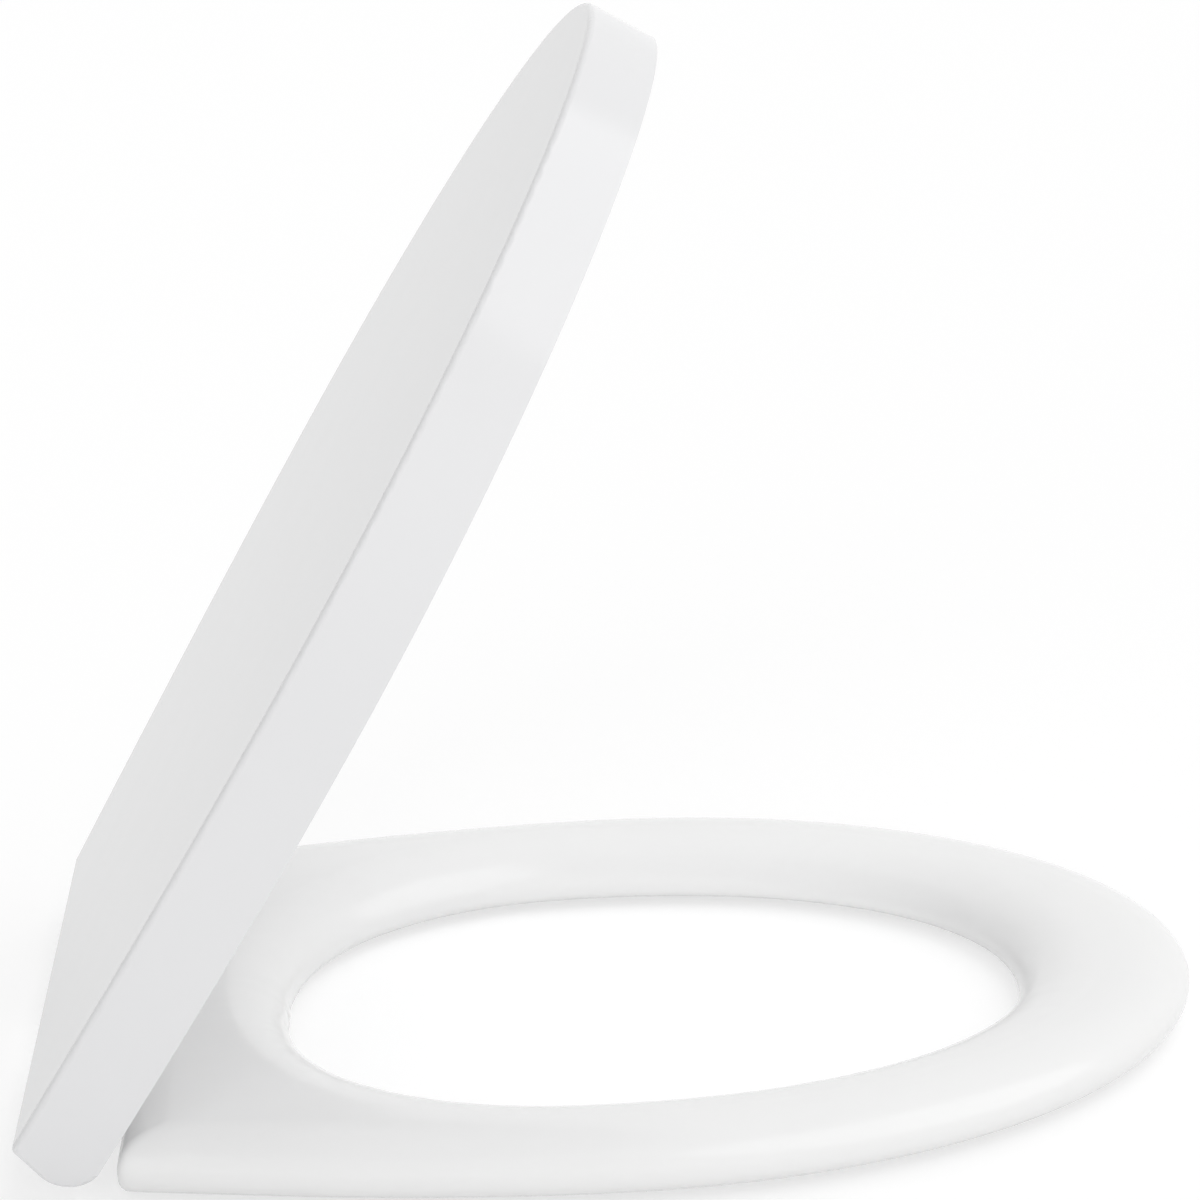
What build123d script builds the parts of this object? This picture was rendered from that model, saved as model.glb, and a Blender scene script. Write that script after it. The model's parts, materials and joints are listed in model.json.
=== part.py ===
from build123d import *

# Toilet seat: a solid moulded ring and a wrap-over lid, turning on one axis between two brackets.
# Millimetres. +Z is up, +X is right, and the front of the seat points along -Y. The origin lies midway
# between the two fixing holes, on the bowl. Forward distances start at the hinge axis.

import os
from math import acos, atan2, cos, degrees, hypot, radians, sin, tan

# Hinge axis and fixing
FIXING_SPACING = 155.0  # between the two fixing holes
FIXING_FORWARD = 32.0  # from the hinge axis to the fixing holes
RING_LIFT = 4.4  # from the bowl to the underside of the ring
AXIS_HEIGHT = 22.0  # from the bowl to the hinge axis
LID_OPEN = 58.7  # opening of the lid at rest, in degrees

# Lid
LID_WIDTH = 370.0
LID_FRONT = 435.7  # from the hinge axis to the front
LID_WIDEST = 203.7  # from the hinge axis to the widest place
LID_REAR_WIDTH = 303.8  # across the rear corners
LID_REAR = 8.7  # how far the top face reaches behind the axis
LID_REAR_TAPER = 14.5  # angle of the sides at the rear corners, in degrees
LID_TOP = 18.2  # from the axis to the top face
LID_ROLL = 14.2  # radius of the rounded rear end, about the axis
LID_ROLL_SHORT = 15.0  # where that round stops, in degrees before its lowest point
LID_RIM_MIDDLE = 13.7  # lower edge of the skirt below the axis, at the widest place
LID_RIM_FRONT = 9.9  # the same at the front
LID_PLATE = 4.2
LID_WALL = 3.6
LID_EDGE = 2.5  # rounding of the top edge and the rear corners
LID_INNER_EDGE = 3.5  # rounding between plate and skirt, inside

# Ring
RING_GAP = 1.4  # between the ring and the skirt around it
RING_REAR = 17.5  # from the hinge axis to the rear edge
RING_REAR_EDGE = 4.5  # rounding of the rear corners
RING_REAR_FACE = 8.0  # height of the upright rear face
RING_REAR_REACH = 40.0  # how far the top slopes off towards the rear edge
RING_REAR_BULGE = 12.5  # fullness of that slope
RING_REAR_OVER = 1.5  # where the line of that slope ends above the crest
RING_HEIGHT = 22.0
RING_INNER_EDGE = 3.0  # lower rounding at the opening
RING_OUTER_EDGE = 9.2  # lower rounding at the outside
RING_INNER_REACH = 30.0  # width of the slope from the crest to the opening
RING_OUTER_REACH = 28.0  # width of the slope from the crest to the outside
RING_CREST_SHARE = 0.98  # the most of a narrow band that both slopes take
HOLE_WIDTH = 246.1
HOLE_REAR = 74.9  # from the hinge axis to the rear of the opening
HOLE_WIDEST = 198.0  # from the hinge axis to its widest place
HOLE_FRONT = 363.6  # from the hinge axis to its front
HOLE_FULLNESS_FRONT = 2.13  # 2 is an ellipse, more is fuller
HOLE_FULLNESS_REAR = 2.21
REAR_TURN = -53.0  # degrees round the opening, at the place that faces the rear corners
WIDEST_TURN = 2.0  # the same at the place that faces the widest sides
REAR_CLOSE = 52.0  # how far behind the axis the band would close, if it weren't cut off

# Hinges, all along the axis
BRACKET_WIDTH = 24.0
BRACKET_BARREL = 9.0  # radius
BRACKET_BACK = 19.0  # from the axis to the back of the foot
BRACKET_FRONT = 45.0  # from the axis to the front of the foot
BRACKET_TOP = 5.5  # top of the foot below the axis
BRACKET_CORNER = 6.0
ARM_START = 7.0  # from the axis to the top of the arm, at the barrel
ARM_HEIGHT = 5.5  # top of the arm above the axis, at the barrel
ARM_KNEE = 13.8  # from the axis to the bend in the top of the arm
ARM_KNEE_FALL = 1.2  # that bend below the axis
ARM_FALL = 6.0  # underside of the arm below the axis, at the barrel
ARM_DEPTH = 15.0  # underside of the arm below the axis, at the foot
GASKET = 2.0
INSERT_RADIUS = 5.5
INSERT_BORE = 4.0
INSERT_LENGTH = 11.0
BARREL_RADIUS = 9.5  # hinge barrels of the ring and of the lid
BARREL_BORE = 7.0
BARREL_LENGTH = 40.0
BARREL_END = 3.0  # closed end of a barrel
SIDE_GAP = 0.3  # between a barrel and the bracket beside it
PIN_RADIUS = 4.0
PIN_FLAT = 3.0  # half the width across the flats of a damper shaft, in its bracket
PIN_SEAT = 11.0  # length of a pin or shaft that sits in its bracket
PIN_SHORT = 3.0  # free room past the end of a pin
RUNNING = 0.05  # radial clearance of a turning pin
DAMPER_WAIST = 6.4  # radius of the slimmer half of a damper body
RING_WEB = 8.0  # how far the barrel webs reach into the ring
RING_WEB_DROP = 2.0  # top of those webs below the axis, at the ring
RING_WEB_FALL = 12.5  # foot of those webs below the axis, at the ring
LUG_FRONT = 9.6  # front of the lid's barrel webs, at the plate
NOTCH_MARGIN = 2.5  # free room beside the barrels where the rear wall of the lid is cut away
POCKET_GAP = 2.0  # free room round a bracket foot in the underside of the ring
POCKET_ROOF = 3.4  # roof of the pockets below the axis
SLOT_DEPTH = 7.0  # how far the notch for the arm goes into the rear edge

# Buffers
BUFFER_LENGTH = 36.0
BUFFER_WIDTH = 13.0
BUFFER_STEM = 3.0
BUFFER_STEM_LENGTH = 8.0
BUFFER_EDGE = 1.5
LID_BUFFER_RADIUS = 8.0
LID_BUFFER_FLANGE = 1.5
LID_BUFFER_TIP = 6.0
LID_BUFFER_ROOM = 0.4  # left above the ring when the lid is shut
LID_BUFFER_STEM = 2.5
LID_BUFFER_STEM_LENGTH = 2.2
REAR_BUFFER_AT = 1.42  # place round the ring: 1 at a rear corner, 2 at the widest side, 3 at the front
LID_BUFFER_AT = 2.39
FRONT_BUFFER_AT = 2.64

# Worked out from the values above
HALF_WIDTH = LID_WIDTH / 2
NOSE = LID_FRONT - LID_WIDEST
TAIL = LID_WIDEST + LID_REAR
NARROWING = HALF_WIDTH - LID_REAR_WIDTH / 2
RING_FOOT = RING_LIFT - AXIS_HEIGHT
RING_INSET = LID_WALL + RING_GAP
RING_CREST = RING_FOOT + RING_HEIGHT
HINGE_X = FIXING_SPACING / 2
BRACKET_IN = HINGE_X - BRACKET_WIDTH / 2
BRACKET_OUT = HINGE_X + BRACKET_WIDTH / 2
RING_BARREL_OUT = BRACKET_IN - SIDE_GAP
RING_BARREL_IN = RING_BARREL_OUT - BARREL_LENGTH
LID_BARREL_IN = BRACKET_OUT + SIDE_GAP
LID_BARREL_OUT = LID_BARREL_IN + BARREL_LENGTH
PLATE_FACE = LID_TOP - LID_PLATE
SLEEVE_LENGTH = BARREL_LENGTH - BARREL_END
RING_PLACES = (
    (0, 0.08, 0.25, 0.5, 0.75)
    + (1, 1.2, 1.4, 1.6, 1.8)
    + (2, 2.15, 2.3, 2.45, 2.6, 2.75, 2.88, 2.96, 3)
)
FAR = 1000.0  # longer than the whole seat
DEEP = 100.0  # deeper than the lid

HINGE = Axis((0, FIXING_FORWARD, AXIS_HEIGHT), (-1, 0, 0))
LEFT, RIGHT = -1, 1


def point(x, forward, above):
    return Vector(x, FIXING_FORWARD - forward, AXIS_HEIGHT + above)


def side_plane(x):
    """Drawing plane across the seat at one X: forward and above the axis."""
    return Plane(origin=point(x, 0, 0), x_dir=(0, -1, 0), z_dir=(-1, 0, 0))


def plan_plane(above):
    """Drawing plane seen from below at one height above the axis: X and forward."""
    return Plane(origin=point(0, 0, above), x_dir=(1, 0, 0), z_dir=(0, 0, -1))


def across(profile, x_low, x_high):
    """A side profile as a solid from one X to another."""
    return extrude(side_plane(x_high) * profile, amount=x_high - x_low)


def upright(plan, low, high):
    """A plan outline as a solid from one height to another."""
    return extrude(plan_plane(high) * plan, amount=high - low)


def rod(radius, x_low, x_high):
    """A round bar on the hinge axis."""
    return across(Circle(radius), x_low, x_high)


def box(x_low, x_high, back, front, low, high):
    """A block by its X range, forward range and height range."""
    plan = Pos((x_low + x_high) / 2, (back + front) / 2) * Rectangle(x_high - x_low, front - back)
    return upright(plan, low, high)


def sided(side, shape):
    """A shape drawn for the right, on the side asked for."""
    return shape if side == RIGHT else mirror(shape, about=Plane.YZ)


# Outlines

TAPER_SHARE = 3 - tan(radians(LID_REAR_TAPER)) * TAIL / NARROWING


def half_width(forward):
    """Half the width of the lid behind its widest place."""
    v = (LID_WIDEST - forward) / TAIL
    return HALF_WIDTH - NARROWING * (TAPER_SHARE * v**2 + (1 - TAPER_SHARE) * v**3)


def half_width_rate(forward):
    v = (LID_WIDEST - forward) / TAIL
    return NARROWING * (2 * TAPER_SHARE * v + 3 * (1 - TAPER_SHARE) * v**2) / TAIL


def lid_plan(inset):
    """Outline of the lid, moved inwards: half an ellipse in front, tapering sides, drawn on past the rear."""
    share = 1 + LID_ROLL / TAIL
    fall = NARROWING * TAPER_SHARE * share**2
    widest = HALF_WIDTH - inset
    rear = half_width(LID_WIDEST - share * TAIL) - inset
    side = Bezier(
        (widest, LID_WIDEST),
        (widest, LID_WIDEST - share * TAIL / 3),
        (widest - fall / 3, LID_WIDEST - 2 * share * TAIL / 3),
        (rear, LID_WIDEST - share * TAIL),
    )
    front = EllipticalCenterArc((0, LID_WIDEST), widest, NOSE - inset, arc_size=180)
    closing = Line(side @ 1, (-rear, LID_WIDEST - share * TAIL))
    return make_face(Curve() + side + mirror(side, about=Plane.YZ) + closing + front)


def side_point(forward):
    """Outline of the ring beside the opening: the lid's side moved inwards."""
    rate = half_width_rate(forward)
    length = hypot(1, rate)
    return (half_width(forward) - RING_INSET / length, forward + RING_INSET * rate / length)


def front_point(angle):
    """Outline of the ring round the front: the lid's ellipse moved inwards."""
    x, y = cos(radians(angle)), sin(radians(angle))
    across_normal, along_normal = x / HALF_WIDTH, y / NOSE
    length = hypot(across_normal, along_normal)
    return (
        HALF_WIDTH * x - RING_INSET * across_normal / length,
        LID_WIDEST + NOSE * y - RING_INSET * along_normal / length,
    )


def hole_point(angle):
    """Outline of the opening: two half ellipses, a little fuller at their corners."""
    ahead = sin(radians(angle)) > 0
    length = HOLE_FRONT - HOLE_WIDEST if ahead else HOLE_REAR - HOLE_WIDEST
    power = 2 / (HOLE_FULLNESS_FRONT if ahead else HOLE_FULLNESS_REAR)
    x, y = abs(cos(radians(angle))), abs(sin(radians(angle)))
    return (HOLE_WIDTH / 2 * x**power, HOLE_WIDEST + length * y**power)


def rear_point(angle):
    """Where the band would close behind the hinge; it is cut off before that."""
    x, forward = side_point(0)
    return (x * cos(radians(angle)), forward + REAR_CLOSE * sin(radians(angle)))


def band_pair(place):
    """The points at the opening and at the outside for one place round the right half of the ring.

    Places go from 0 behind the hinge to 1 at the rear corner, 2 at the widest side and 3 at the front.
    """
    if place < 1:
        turn = -90 + (REAR_TURN + 90) * place
        return hole_point(turn), rear_point(-90 + 90 * place)
    if place < 2:
        turn = REAR_TURN + (WIDEST_TURN - REAR_TURN) * (place - 1)
        return hole_point(turn), side_point(LID_WIDEST * (place - 1))
    turn = WIDEST_TURN + (90 - WIDEST_TURN) * (place - 2)
    return hole_point(turn), front_point(90 * (place - 2))


def band_middle(place):
    """The middle of the band, X and forward, at one place round the ring."""
    inner, outer = band_pair(place)
    return ((inner[0] + outer[0]) / 2, (inner[1] + outer[1]) / 2)


def band_section(inner, outer):
    """One section of the band: flat foot, rounded lower edges and a top that slopes off to both sides."""
    reach = hypot(outer[0] - inner[0], outer[1] - inner[1])
    share = min(1, RING_CREST_SHARE * reach / (RING_INNER_REACH + RING_OUTER_REACH))
    crest_in, crest_out = share * RING_INNER_REACH, reach - share * RING_OUTER_REACH
    r_in, r_out = RING_INNER_EDGE, RING_OUTER_EDGE
    outline = [
        Line((r_in, 0), (reach - r_out, 0)),
        EllipticalCenterArc((reach - r_out, r_out), r_out, r_out, start_angle=270, arc_size=90),
        EllipticalCenterArc(
            (crest_out, r_out), reach - crest_out, RING_HEIGHT - r_out, start_angle=0, arc_size=90
        ),
        Line((crest_out, RING_HEIGHT), (crest_in, RING_HEIGHT)),
        EllipticalCenterArc(
            (crest_in, r_in), crest_in, RING_HEIGHT - r_in, start_angle=90, arc_size=90
        ),
        EllipticalCenterArc((r_in, r_in), r_in, r_in, start_angle=180, arc_size=90),
    ]
    along = ((outer[0] - inner[0]) / reach, (inner[1] - outer[1]) / reach, 0)
    plane = Plane(
        origin=point(inner[0], inner[1], RING_FOOT),
        x_dir=along,
        z_dir=(along[1], -along[0], 0),
    )
    return plane * make_face(Curve() + outline)


def rear_profile():
    """Side profile that trims the rear of the band: an upright face and a top that slopes down to it."""
    low = (RING_REAR, RING_FOOT + RING_REAR_FACE)
    high = (RING_REAR + RING_REAR_REACH, RING_CREST + RING_REAR_OVER)
    slope = Bezier(low, (RING_REAR, RING_CREST), (RING_REAR + RING_REAR_BULGE, RING_CREST), high)
    rest = Polyline(high, (high[0], DEEP), (FAR, DEEP), (FAR, -DEEP), (RING_REAR, -DEEP), low)
    return make_face(Curve() + slope + rest)


def ring_band():
    """The crowned band, lofted round the right half and mirrored."""
    half = loft([band_section(*band_pair(place)) for place in RING_PLACES])
    half = half & across(rear_profile(), 0, FAR)
    return half + mirror(half, about=Plane.YZ)


# Ring

def barrel_web():
    """Side profile that ties a barrel to the rear edge of the ring."""
    reach = RING_REAR + RING_WEB
    outline = Polyline(
        (0, BARREL_RADIUS),
        (reach, -RING_WEB_DROP),
        (reach, -RING_WEB_FALL),
        (0, -BARREL_RADIUS),
        close=True,
    )
    return make_face(outline)


def bracket_pocket():
    """Room for one bracket in the underside and rear edge of the ring."""
    low, high = BRACKET_IN - POCKET_GAP, BRACKET_OUT + POCKET_GAP
    room = box(low, high, BARREL_RADIUS, BRACKET_FRONT + POCKET_GAP, -FAR, -POCKET_ROOF)
    room = fillet(room.edges().filter_by(Axis.Z).group_by(Axis.Y)[0], BRACKET_CORNER)
    slot = box(low, high, BARREL_RADIUS, RING_REAR + SLOT_DEPTH, -FAR, FAR)
    return room + slot


def stem_hole(radius, place, low, high):
    return upright(Pos(*place) * Circle(radius), low, high)


def seat_ring():
    ring = ring_band()
    rear = ring.faces().filter_by(Axis.Y).sort_by(Axis.Y)[-1]
    corners = rear.edges().filter_by(lambda edge: abs(edge.center().X) > LID_BARREL_OUT)
    ring = fillet(corners, RING_REAR_EDGE)
    half = across(barrel_web(), RING_BARREL_IN, RING_BARREL_OUT)
    half += rod(BARREL_RADIUS, RING_BARREL_IN, RING_BARREL_OUT)
    ring += half + mirror(half, about=Plane.YZ)
    cut = bracket_pocket() + rod(BARREL_BORE, RING_BARREL_IN + BARREL_END, RING_BARREL_OUT)
    for place in (FRONT_BUFFER_AT, REAR_BUFFER_AT):
        top = RING_FOOT + BUFFER_STEM_LENGTH
        cut += stem_hole(BUFFER_STEM, band_middle(place), RING_FOOT, top)
    return ring - cut - mirror(cut, about=Plane.YZ)


# Lid, drawn shut

def lid_profile():
    """Side profile of the lid: flat top, leaning rear and a rounded lower rear end about the axis."""
    first = atan2(LID_TOP, -LID_REAR) + acos(LID_ROLL / hypot(LID_TOP, LID_REAR))
    last = radians(270 - LID_ROLL_SHORT)
    heel, middle, toe = (
        (LID_ROLL * cos(turn), LID_ROLL * sin(turn)) for turn in (first, (first + last) / 2, last)
    )
    front = LID_FRONT + LID_EDGE
    top = Line((-LID_REAR, LID_TOP), (front, LID_TOP))
    nose = Line((front, LID_TOP), (front, -LID_RIM_FRONT))
    rim = ThreePointArc((front, -LID_RIM_FRONT), (LID_WIDEST, -LID_RIM_MIDDLE), toe)
    roll = ThreePointArc(toe, middle, heel)
    back = Line(heel, (-LID_REAR, LID_TOP))
    return make_face(Curve() + top + nose + rim + roll + back)


def lid_shell():
    """The plate and its skirt."""
    body = upright(lid_plan(0), -DEEP, LID_TOP) & across(lid_profile(), -HALF_WIDTH, HALF_WIDTH)
    rear = body.edges().filter_by(lambda edge: edge.center().Y > FIXING_FORWARD + LID_REAR)
    corners = rear.filter_by(lambda edge: abs(edge.center().X) > LID_BARREL_OUT)
    top = body.faces().sort_by(Axis.Z)[-1].outer_wire().edges()
    body = fillet(corners + top, LID_EDGE)
    room = upright(lid_plan(LID_WALL), -DEEP, PLATE_FACE)
    room &= box(-HALF_WIDTH, HALF_WIDTH, LID_WALL - LID_REAR, LID_FRONT, -DEEP, PLATE_FACE)
    room = fillet(room.faces().sort_by(Axis.Z)[-1].outer_wire().edges(), LID_INNER_EDGE)
    reach = LID_BARREL_OUT + NOTCH_MARGIN
    notch = box(-reach, reach, -2 * LID_ROLL, 0, -DEEP, PLATE_FACE)
    return body - room - notch


def lug_profile():
    """Side profile that ties a barrel of the lid to the plate."""
    outline = Polyline(
        (-BARREL_RADIUS, 0),
        (-LID_REAR, LID_TOP - LID_EDGE),
        (LUG_FRONT, LID_TOP - LID_EDGE),
        (BARREL_RADIUS, 0),
        close=True,
    )
    return make_face(outline)


def lid_shut():
    lid = lid_shell()
    half = across(lug_profile(), LID_BARREL_IN, LID_BARREL_OUT)
    half += rod(BARREL_RADIUS, LID_BARREL_IN, LID_BARREL_OUT)
    lid += half + mirror(half, about=Plane.YZ)
    cut = rod(BARREL_BORE, LID_BARREL_IN, LID_BARREL_OUT - BARREL_END)
    cut += stem_hole(
        LID_BUFFER_STEM,
        band_middle(LID_BUFFER_AT),
        PLATE_FACE,
        PLATE_FACE + LID_BUFFER_STEM_LENGTH,
    )
    return lid - cut - mirror(cut, about=Plane.YZ)


def opened(shape):
    """A shape drawn with the lid shut, turned to where the lid rests."""
    return shape.rotate(HINGE, LID_OPEN)


# Hinges, drawn for the right side

def foot_plan():
    plan = Rectangle(BRACKET_WIDTH, BRACKET_FRONT - BRACKET_BACK)
    plan = fillet(plan.vertices(), BRACKET_CORNER)
    return Pos(HINGE_X, (BRACKET_FRONT + BRACKET_BACK) / 2) * plan


def fixing_hole(radius, low, high):
    return upright(Pos(HINGE_X, FIXING_FORWARD) * Circle(radius), low, high)


def shaft_end(x_low, x_high):
    """The flatted end of a damper shaft."""
    return rod(PIN_RADIUS, x_low, x_high) & box(x_low, x_high, -FAR, FAR, -PIN_FLAT, PIN_FLAT)


def hinge_bracket(damped_side):
    """Barrel, sloping arm and foot. The damped side of the barrel has a flatted bore."""
    foot_low = GASKET - AXIS_HEIGHT
    arm = Polyline(
        (ARM_START, ARM_HEIGHT),
        (ARM_KNEE, -ARM_KNEE_FALL),
        (BRACKET_BACK + BRACKET_CORNER, -BRACKET_TOP),
        (BRACKET_BACK + BRACKET_CORNER, -ARM_DEPTH),
        (BRACKET_BACK, -ARM_DEPTH),
        (ARM_HEIGHT, -ARM_FALL),
        close=True,
    )
    body = across(make_face(arm), BRACKET_IN, BRACKET_OUT)
    body += rod(BRACKET_BARREL, BRACKET_IN, BRACKET_OUT)
    body += upright(foot_plan(), foot_low, -BRACKET_TOP)
    inner = rod(PIN_RADIUS, BRACKET_IN, BRACKET_IN + PIN_SEAT)
    outer = rod(PIN_RADIUS, BRACKET_OUT - PIN_SEAT, BRACKET_OUT)
    if damped_side == "inner":
        inner = shaft_end(BRACKET_IN, BRACKET_IN + PIN_SEAT)
    else:
        outer = shaft_end(BRACKET_OUT - PIN_SEAT, BRACKET_OUT)
    return body - inner - outer - fixing_hole(INSERT_RADIUS, foot_low, foot_low + INSERT_LENGTH)


def threaded_insert():
    foot_low = GASKET - AXIS_HEIGHT
    body = fixing_hole(INSERT_RADIUS, foot_low, foot_low + INSERT_LENGTH)
    return body - fixing_hole(INSERT_BORE, foot_low, foot_low + INSERT_LENGTH)


def foot_gasket():
    return upright(foot_plan(), -AXIS_HEIGHT, GASKET - AXIS_HEIGHT) - fixing_hole(
        INSERT_BORE, -AXIS_HEIGHT, GASKET - AXIS_HEIGHT
    )


def inner_barrel():
    """X of the open and of the closed end of the ring barrel's bore."""
    return RING_BARREL_OUT, RING_BARREL_IN + BARREL_END


def outer_barrel():
    """X of the open and of the closed end of the lid barrel's bore."""
    return LID_BARREL_IN, LID_BARREL_OUT - BARREL_END


def span(start, length, mouth, end):
    """X range of a length that starts a given way down a bore."""
    way = 1 if end > mouth else -1
    first, last = mouth + way * start, mouth + way * (start + length)
    return min(first, last), max(first, last)


def damper_body(mouth, end):
    """A damper housing that fills a barrel: full size at the mouth, slimmer behind."""
    depth = abs(end - mouth)
    body = rod(BARREL_BORE, *span(0, depth / 2, mouth, end))
    body += rod(DAMPER_WAIST, *span(depth / 2, depth / 2, mouth, end))
    return body - rod(PIN_RADIUS + RUNNING, *span(0, depth - PIN_SHORT, mouth, end))


def damper_shaft(mouth, end):
    depth = abs(end - mouth)
    seat = span(-PIN_SEAT - SIDE_GAP, PIN_SEAT, mouth, end)
    body = rod(PIN_RADIUS, *span(-SIDE_GAP, depth - 2 * PIN_SHORT, mouth, end))
    return body + shaft_end(*seat)


def pivot_bush(mouth, end):
    """A plain bearing sleeve in the mouth of a barrel."""
    body = rod(BARREL_BORE, *span(0, SLEEVE_LENGTH, mouth, end))
    return body - rod(PIN_RADIUS + RUNNING, *span(0, SLEEVE_LENGTH - PIN_SHORT, mouth, end))


def pivot_pin(mouth, end):
    depth = abs(end - mouth)
    return rod(PIN_RADIUS, *span(-PIN_SEAT - SIDE_GAP, depth - 2 * PIN_SHORT + PIN_SEAT, mouth, end))


# Buffers

def seat_buffer(place):
    """A long rubber pad with a stem, pushed into the underside of the ring."""
    middle = band_middle(place)
    inner, outer = band_pair(place)
    turn = 90 + degrees(atan2(outer[1] - inner[1], outer[0] - inner[0]))
    outline = Pos(*middle) * Rot(0, 0, turn) * SlotOverall(BUFFER_LENGTH, BUFFER_WIDTH)
    pad = upright(outline, -AXIS_HEIGHT, RING_FOOT)
    pad = chamfer(pad.faces().sort_by(Axis.Z)[0].outer_wire().edges(), BUFFER_EDGE)
    return pad + stem_hole(BUFFER_STEM, middle, RING_FOOT, RING_FOOT + BUFFER_STEM_LENGTH)


def lid_buffer():
    """A round rubber stop under the lid, drawn with the lid shut."""
    place = band_middle(LID_BUFFER_AT)
    low = RING_CREST + LID_BUFFER_ROOM
    body = stem_hole(LID_BUFFER_TIP, place, low, PLATE_FACE)
    body = chamfer(body.faces().sort_by(Axis.Z)[0].outer_wire().edges(), BUFFER_EDGE)
    body += stem_hole(LID_BUFFER_RADIUS, place, PLATE_FACE - LID_BUFFER_FLANGE, PLATE_FACE)
    return body + stem_hole(LID_BUFFER_STEM, place, PLATE_FACE, PLATE_FACE + LID_BUFFER_STEM_LENGTH)


def parts():
    """Every piece by its name."""
    made = {"seat_ring": seat_ring(), "lid": opened(lid_shut())}
    for side, word in ((LEFT, "left"), (RIGHT, "right")):
        damped_side = "outer" if side == LEFT else "inner"
        made["hinge_bracket_" + word] = sided(side, hinge_bracket(damped_side))
        made["threaded_insert_" + word] = sided(side, threaded_insert())
        made["foot_gasket_" + word] = sided(side, foot_gasket())
        made["seat_buffer_front_" + word] = sided(side, seat_buffer(FRONT_BUFFER_AT))
        made["seat_buffer_rear_" + word] = sided(side, seat_buffer(REAR_BUFFER_AT))
        made["lid_buffer_" + word] = opened(sided(side, lid_buffer()))
    made["lid_damper_body"] = opened(sided(LEFT, damper_body(*outer_barrel())))
    made["lid_damper_shaft"] = sided(LEFT, damper_shaft(*outer_barrel()))
    made["seat_pivot_bush"] = sided(LEFT, pivot_bush(*inner_barrel()))
    made["seat_pivot_pin"] = sided(LEFT, pivot_pin(*inner_barrel()))
    made["seat_damper_body"] = sided(RIGHT, damper_body(*inner_barrel()))
    made["seat_damper_shaft"] = sided(RIGHT, damper_shaft(*inner_barrel()))
    made["lid_pivot_bush"] = opened(sided(RIGHT, pivot_bush(*outer_barrel())))
    made["lid_pivot_pin"] = sided(RIGHT, pivot_pin(*outer_barrel()))
    return made


os.makedirs("parts", exist_ok=True)
for name, solid in parts().items():
    export_step(solid, f"parts/{name}.step")
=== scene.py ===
import json
from math import cos, radians, sin

import bpy
from mathutils import Matrix, Vector

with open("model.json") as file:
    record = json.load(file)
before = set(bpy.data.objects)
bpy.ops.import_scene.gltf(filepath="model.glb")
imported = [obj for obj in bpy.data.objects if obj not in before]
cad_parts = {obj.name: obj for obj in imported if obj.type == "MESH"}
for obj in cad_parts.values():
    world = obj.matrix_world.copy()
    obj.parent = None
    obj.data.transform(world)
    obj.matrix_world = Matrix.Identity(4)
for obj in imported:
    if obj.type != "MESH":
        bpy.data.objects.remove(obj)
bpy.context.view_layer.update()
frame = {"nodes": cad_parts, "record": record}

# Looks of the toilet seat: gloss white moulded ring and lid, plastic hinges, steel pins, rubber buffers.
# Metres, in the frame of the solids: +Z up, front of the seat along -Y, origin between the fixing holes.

# Camera, matched to the photograph
CAMERA_TARGET = Vector((0, -0.17295, 0.17428))
CAMERA_DISTANCE = 1.68565
CAMERA_YAW = radians(1.41)
CAMERA_ELEVATION = radians(16.89)
CAMERA_ROLL = radians(-2.5)
CAMERA_LENS = 131.318  # millimetres, on a sensor 36 mm wide

# Light
WORLD_LEVEL = 0.38
FLOOR_SIZE = 40.0
FLOOR_BASE = 0.95  # white of the floor, as it throws light back on the object
FLOOR_SEEN = 0.37  # the same as the eye sees it, so that the shadow stays faint
FLOOR_LIFT = 0.67  # light added to the floor for the eye alone, so that it reads as white paper
SUN_SPREAD = 60  # width of each sun's disc, in degrees

# Shading of the solids
SMOOTH_BELOW = radians(28)  # edges flatter than this are shaded as one surface
MERGE_WITHIN = 0.000002
RING_SOFTENING = 0.004  # radius over which the edges of the ring are shaded round
SOFTENING_SAMPLES = 8

# Colours, each as its darkest and lightest tone. Lid and ring are one white resin: the lid's tones hold
# painted shade, the ring's painted light
LID_SHADED_TONES = (0.836, 0.837, 0.846), (0.848, 0.848, 0.856)
RING_LIT_TONES = (0.9, 0.9, 0.898), (0.914, 0.914, 0.911)


# Materials

def new_material(name):
    """An empty node material: returns it with its node tree and shader."""
    material = bpy.data.materials.new(name)
    material.use_nodes = True
    tree = material.node_tree
    return material, tree, tree.nodes["Principled BSDF"]


def noise(tree, scale, detail=2.0, stretch=(1, 1, 1)):
    """Noise in the object's own coordinates, with its features 1 / scale metres apart."""
    place = tree.nodes.new("ShaderNodeTexCoord")
    mapping = tree.nodes.new("ShaderNodeMapping")
    mapping.inputs["Scale"].default_value = stretch
    texture = tree.nodes.new("ShaderNodeTexNoise")
    texture.inputs["Scale"].default_value = scale
    texture.inputs["Detail"].default_value = detail
    tree.links.new(place.outputs["Object"], mapping.inputs["Vector"])
    tree.links.new(mapping.outputs["Vector"], texture.inputs["Vector"])
    return texture.outputs["Fac"]


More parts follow.
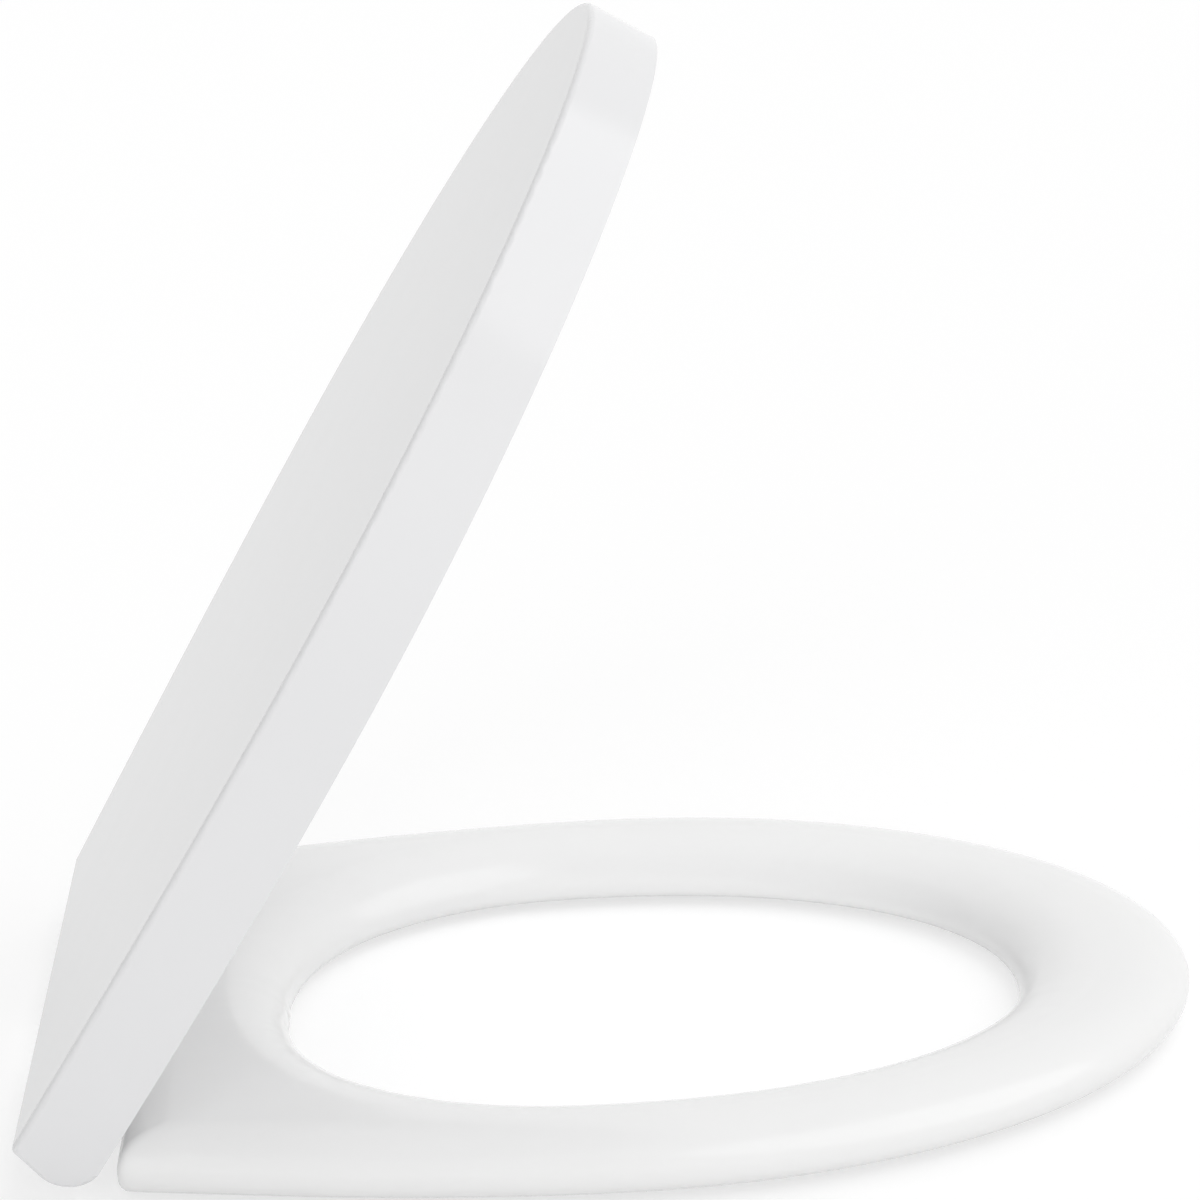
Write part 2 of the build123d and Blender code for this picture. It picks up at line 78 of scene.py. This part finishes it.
def vary(tree, factor, low, high, target):
    """Maps a noise to a range of numbers or colours on a socket."""
    if hasattr(low, "__len__"):
        ramp = tree.nodes.new("ShaderNodeValToRGB")
        ramp.color_ramp.elements[0].color = (*low, 1)
        ramp.color_ramp.elements[1].color = (*high, 1)
        ramp.color_ramp.elements[0].position = 0.3
        ramp.color_ramp.elements[1].position = 0.7
        tree.links.new(factor, ramp.inputs["Fac"])
        tree.links.new(ramp.outputs["Color"], target)
        return
    scaled = tree.nodes.new("ShaderNodeMapRange")
    scaled.inputs["From Min"].default_value = 0.3
    scaled.inputs["From Max"].default_value = 0.7
    scaled.inputs["To Min"].default_value = low
    scaled.inputs["To Max"].default_value = high
    tree.links.new(factor, scaled.inputs["Value"])
    tree.links.new(scaled.outputs["Result"], target)


def bump(tree, shader, factor, depth, soften=0.0):
    """Surface relief of a given depth in metres, over edges softened to a radius."""
    node = tree.nodes.new("ShaderNodeBump")
    node.inputs["Strength"].default_value = 1.0
    node.inputs["Distance"].default_value = depth
    tree.links.new(factor, node.inputs["Height"])
    tree.links.new(node.outputs["Normal"], shader.inputs["Normal"])
    if soften:
        edge = tree.nodes.new("ShaderNodeBevel")
        edge.samples = SOFTENING_SAMPLES
        edge.inputs["Radius"].default_value = soften
        tree.links.new(edge.outputs["Normal"], node.inputs["Normal"])


def moulded_white(name, low, high, soften=0.0):
    """Polished white moulding resin: even colour, clear gloss, and the faint waviness of a pressed face."""
    material, tree, shader = new_material(name)
    shader.inputs["IOR"].default_value = 1.5
    vary(tree, noise(tree, 9.0), low, high, shader.inputs["Base Color"])
    vary(tree, noise(tree, 9.0), 0.15, 0.17, shader.inputs["Roughness"])
    bump(tree, shader, noise(tree, 40.0, 1.0), 0.000001, soften)
    return material


def bracket_plastic():
    """Satin white plastic with the fine grain of an etched mould."""
    material, tree, shader = new_material("bracket_plastic")
    vary(tree, noise(tree, 40.0), (0.76, 0.76, 0.75), (0.8, 0.8, 0.79), shader.inputs["Base Color"])
    vary(tree, noise(tree, 300.0), 0.38, 0.5, shader.inputs["Roughness"])
    bump(tree, shader, noise(tree, 2600.0, 1.0), 0.00003)
    return material


def bearing_plastic():
    """Grey engineering plastic of the dampers and bushes."""
    material, tree, shader = new_material("bearing_plastic")
    vary(tree, noise(tree, 80.0), (0.5, 0.51, 0.52), (0.56, 0.57, 0.58), shader.inputs["Base Color"])
    vary(tree, noise(tree, 400.0), 0.35, 0.5, shader.inputs["Roughness"])
    bump(tree, shader, noise(tree, 1800.0, 1.0), 0.00002)
    return material


def steel():
    """Turned stainless steel: fine rings round the axis of the pins."""
    material, tree, shader = new_material("steel")
    shader.inputs["Metallic"].default_value = 1.0
    rings = noise(tree, 1.0, 3.0, stretch=(9000, 40, 40))
    vary(tree, rings, (0.55, 0.55, 0.56), (0.66, 0.66, 0.67), shader.inputs["Base Color"])
    vary(tree, rings, 0.22, 0.38, shader.inputs["Roughness"])
    bump(tree, shader, rings, 0.000006)
    return material


def rubber():
    """Soft grey-white rubber with a dusty, matt face."""
    material, tree, shader = new_material("rubber")
    vary(tree, noise(tree, 120.0), (0.66, 0.66, 0.65), (0.73, 0.73, 0.72), shader.inputs["Base Color"])
    vary(tree, noise(tree, 500.0), 0.6, 0.78, shader.inputs["Roughness"])
    bump(tree, shader, noise(tree, 1500.0, 2.0), 0.00004)
    return material


def brass():
    """Turned brass of the threaded inserts."""
    material, tree, shader = new_material("brass")
    shader.inputs["Metallic"].default_value = 1.0
    rings = noise(tree, 1.0, 3.0, stretch=(40, 40, 7000))
    vary(tree, rings, (0.68, 0.5, 0.22), (0.78, 0.6, 0.3), shader.inputs["Base Color"])
    vary(tree, rings, 0.25, 0.4, shader.inputs["Roughness"])
    bump(tree, shader, rings, 0.000006)
    return material


# The lid's white resin takes the darker tones, which hold painted shade
MATERIALS = {
    "moulded_white": moulded_white("moulded_white", *LID_SHADED_TONES),
    "bracket_plastic": bracket_plastic(),
    "bearing_plastic": bearing_plastic(),
    "steel": steel(),
    "rubber": rubber(),
    "brass": brass(),
}
# The ring's copy of the white resin: lighter tones as painted light, and edges shaded round
RING_LIT_WHITE = moulded_white("moulded_white_ring_lit", *RING_LIT_TONES, soften=RING_SOFTENING)


# Solids

def smooth_group():
    """Modifier that joins the faces of a solid and shades its gentle edges as one surface."""
    group = bpy.data.node_groups.new("smooth_faces", "GeometryNodeTree")
    group.interface.new_socket("Geometry", in_out="INPUT", socket_type="NodeSocketGeometry")
    group.interface.new_socket("Geometry", in_out="OUTPUT", socket_type="NodeSocketGeometry")
    nodes, links = group.nodes, group.links
    entry = nodes.new("NodeGroupInput")
    leave = nodes.new("NodeGroupOutput")
    merge = nodes.new("GeometryNodeMergeByDistance")
    merge.inputs["Distance"].default_value = MERGE_WITHIN
    faces = nodes.new("GeometryNodeSetShadeSmooth")
    edges = nodes.new("GeometryNodeSetShadeSmooth")
    edges.domain = "EDGE"
    edges.inputs["Shade Smooth"].default_value = False
    angle = nodes.new("GeometryNodeInputMeshEdgeAngle")
    sharp = nodes.new("FunctionNodeCompare")
    sharp.operation = "GREATER_THAN"
    sharp.inputs["B"].default_value = SMOOTH_BELOW
    links.new(entry.outputs["Geometry"], merge.inputs["Geometry"])
    links.new(merge.outputs["Geometry"], faces.inputs["Geometry"])
    links.new(faces.outputs["Geometry"], edges.inputs["Geometry"])
    links.new(angle.outputs["Unsigned Angle"], sharp.inputs["A"])
    links.new(sharp.outputs["Result"], edges.inputs["Selection"])
    links.new(edges.outputs["Geometry"], leave.inputs["Geometry"])
    return group


SMOOTH = smooth_group()


def dress(node, material):
    """Gives a solid its material and smooth shading."""
    solid = frame["nodes"][node]
    solid.data.materials.clear()
    solid.data.materials.append(material)
    join = solid.modifiers.new("smooth_faces", "NODES")
    join.node_group = SMOOTH
    flats = solid.modifiers.new("flat_faces", "WEIGHTED_NORMAL")
    flats.mode = "FACE_AREA"
    flats.weight = 100
    flats.keep_sharp = True


for part in frame["record"]["subparts"]:
    plain = MATERIALS[part["material_slot"]]
    dress(part["node"], RING_LIT_WHITE if part["node"] == "seat_ring" else plain)


# Stage

def background_switch(tree):
    """1 where the eye, a reflection or a clear body looks straight at the background, 0 for other light."""
    path = tree.nodes.new("ShaderNodeLightPath")
    either = tree.nodes.new("ShaderNodeMath")
    either.operation = "MAXIMUM"
    seen = tree.nodes.new("ShaderNodeMath")
    seen.operation = "MAXIMUM"
    tree.links.new(path.outputs["Is Camera Ray"], either.inputs[0])
    tree.links.new(path.outputs["Is Glossy Ray"], either.inputs[1])
    tree.links.new(either.outputs[0], seen.inputs[0])
    tree.links.new(path.outputs["Is Transmission Ray"], seen.inputs[1])
    return seen.outputs[0]


def make_world():
    """White to the eye, plain soft light for the object."""
    world = bpy.data.worlds.new("studio")
    world.use_nodes = True
    tree = world.node_tree
    background = tree.nodes["Background"]
    background.inputs["Color"].default_value = (1, 1, 1, 1)
    level = tree.nodes.new("ShaderNodeMapRange")
    level.inputs["To Min"].default_value = WORLD_LEVEL
    level.inputs["To Max"].default_value = 1.0
    tree.links.new(background_switch(tree), level.inputs["Value"])
    tree.links.new(level.outputs["Result"], background.inputs["Strength"])
    bpy.context.scene.world = world


def floor_material():
    """White paper that keeps the object's shadow."""
    material, tree, shader = new_material("floor_paper")
    shader.inputs["Roughness"].default_value = 0.9
    shader.inputs["Specular IOR Level"].default_value = 0.0
    shader.inputs["Emission Color"].default_value = (1, 1, 1, 1)
    seen = background_switch(tree)
    for low, high, socket in ((FLOOR_BASE, FLOOR_SEEN, "Base Color"), (0.0, FLOOR_LIFT, "Emission Strength")):
        level = tree.nodes.new("ShaderNodeMapRange")
        level.inputs["To Min"].default_value = low
        level.inputs["To Max"].default_value = high
        tree.links.new(seen, level.inputs["Value"])
        tree.links.new(level.outputs["Result"], shader.inputs[socket])
    return material


def make_floor():
    half = FLOOR_SIZE / 2
    mesh = bpy.data.meshes.new("floor")
    corners = [(-half, -half, 0), (half, -half, 0), (half, half, 0), (-half, half, 0)]
    mesh.from_pydata(corners, [], [(0, 1, 2, 3)])
    mesh.materials.append(floor_material())
    floor = bpy.data.objects.new("floor", mesh)
    bpy.context.scene.collection.objects.link(floor)


def soft_sun(name, towards, strength, mirrored=True):
    """Even studio light from one side: a sun with a wide disc, which glossy faces may mirror or not."""
    lamp = bpy.data.lights.new(name, "SUN")
    lamp.energy = strength
    lamp.angle = radians(SUN_SPREAD)
    holder = bpy.data.objects.new(name, lamp)
    holder.location = towards
    holder.rotation_mode = "QUATERNION"
    holder.rotation_quaternion = (-Vector(towards)).to_track_quat("-Z", "Y")
    holder.visible_glossy = mirrored
    bpy.context.scene.collection.objects.link(holder)


def make_camera():
    e, y, roll = CAMERA_ELEVATION, CAMERA_YAW, CAMERA_ROLL
    ahead = Vector((cos(e) * cos(y), -cos(e) * sin(y), -sin(e)))
    level_right = Vector((-sin(y), -cos(y), 0))
    level_up = level_right.cross(ahead)
    right = level_right * cos(roll) + level_up * sin(roll)
    up = level_up * cos(roll) - level_right * sin(roll)
    turn = Matrix((right, up, -ahead)).transposed()
    data = bpy.data.cameras.new("camera")
    data.lens = CAMERA_LENS
    data.sensor_width = 36.0
    camera = bpy.data.objects.new("camera", data)
    camera.matrix_world = Matrix.Translation(CAMERA_TARGET - ahead * CAMERA_DISTANCE) @ turn.to_4x4()
    bpy.context.scene.collection.objects.link(camera)
    bpy.context.scene.camera = camera


make_world()
make_floor()
make_camera()
soft_sun("front_top", (-0.2, -0.6, 0.8), 0.84)
soft_sun("near_side", (-1.0, 0.05, 0.3), 1.05, mirrored=False)
soft_sun("far_top", (0.6, -0.3, 0.75), 0.8, mirrored=False)

bpy.context.scene.view_settings.view_transform = "Standard"
